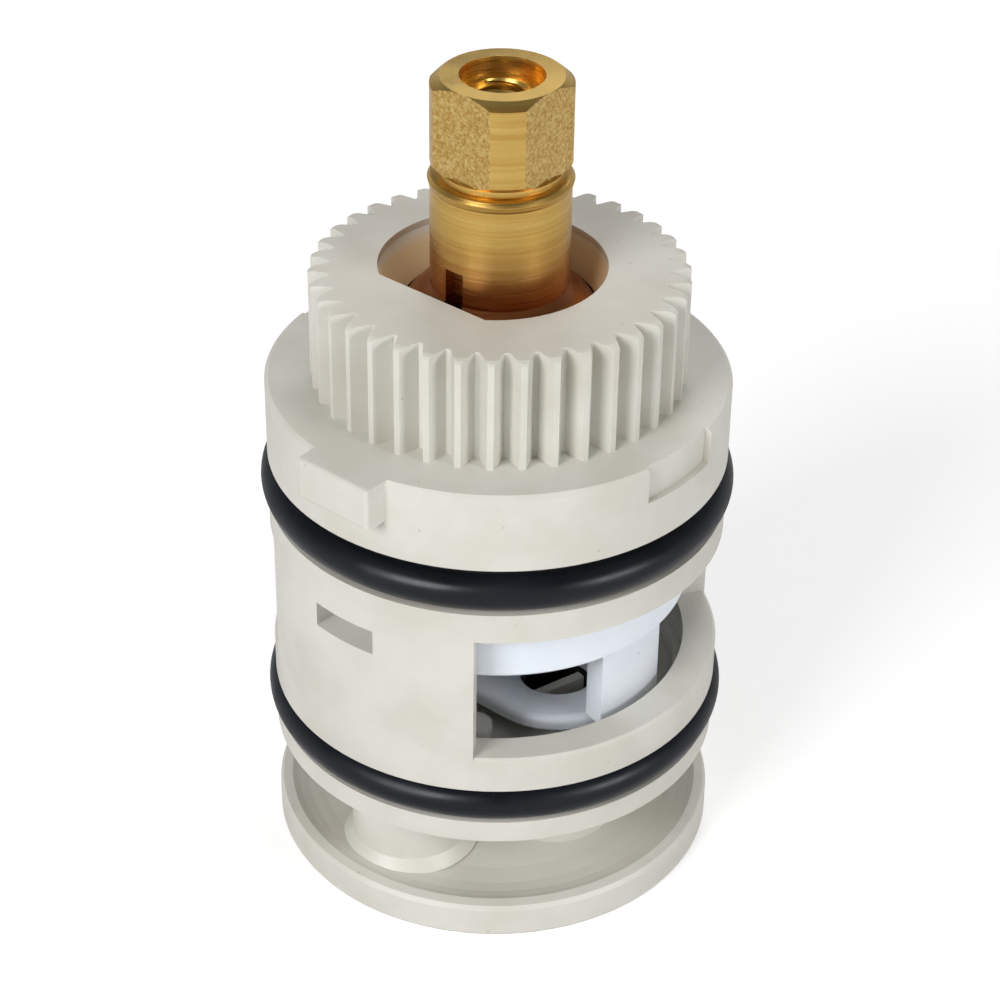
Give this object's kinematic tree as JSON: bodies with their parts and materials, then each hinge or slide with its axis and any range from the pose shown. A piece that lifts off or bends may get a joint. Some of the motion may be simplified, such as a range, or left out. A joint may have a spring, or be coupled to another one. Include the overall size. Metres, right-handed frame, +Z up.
{
  "type": "single handle faucet cartridge",
  "caption": "Single handle mixing cartridge: brass stem that tilts and turns in a splined white cap, over a windowed cage and a foot, sealed by O-rings.",
  "frame": {"origin": "centre of the underside of the foot, on the cartridge's axis", "axes": "+Z up along the stem, -Y towards the lug on the cap and the flat of the stem opening"},
  "size_m": [0.0334, 0.0342, 0.0599],
  "materials": {
    "white_acetal": "satin moulded, warm white",
    "bluish_acetal": "satin moulded, cool white",
    "natural_acetal": "satin moulded",
    "black_rubber": "semi-matt, lightly greased",
    "brass_bar": "turned and milled",
    "steel_pin": "ground",
    "spring_steel": "drawn wire"
  },
  "bodies": {
    "housing": {"cap": "white_acetal", "body": "white_acetal", "base": "white_acetal", "upper_oring": "black_rubber", "lower_oring": "black_rubber", "hot_seat": "black_rubber", "hot_seat_insert": "natural_acetal", "hot_seat_spring": "spring_steel", "hot_inlet_seal": "black_rubber", "cold_seat": "black_rubber", "cold_seat_insert": "natural_acetal", "cold_seat_spring": "spring_steel", "cold_inlet_seal": "black_rubber"},
    "turning_group": {"rotor": "bluish_acetal", "pivot_pin": "steel_pin", "rotor_oring": "black_rubber", "ball_seat": "natural_acetal", "stem_seal": "black_rubber", "thrust_washer": "natural_acetal"},
    "stem_group": {"stem": "brass_bar"},
    "shoe_group": {"valve_shoe": "bluish_acetal"}
  },
  "joints": [
    {"name": "temperature_turn", "type": "hinge", "parent": "housing", "child": "turning_group", "pos_m": [0, 0, 0.0385], "axis": [0, 0, 1], "range_deg": [-45, 45]},
    {"name": "volume_tilt", "type": "hinge", "parent": "turning_group", "child": "stem_group", "pos_m": [0, 0, 0.0385], "axis": [-1, 0, 0], "range_deg": [0, 16]},
    {"name": "shoe_slide", "type": "slide", "parent": "turning_group", "child": "shoe_group", "axis": [0, -1, 0], "range_m": [0, 0.0038]}
  ],
  "couplings": [
    {"joint": "shoe_slide", "follows": "volume_tilt", "m_per_rad": 0.0135}
  ]
}
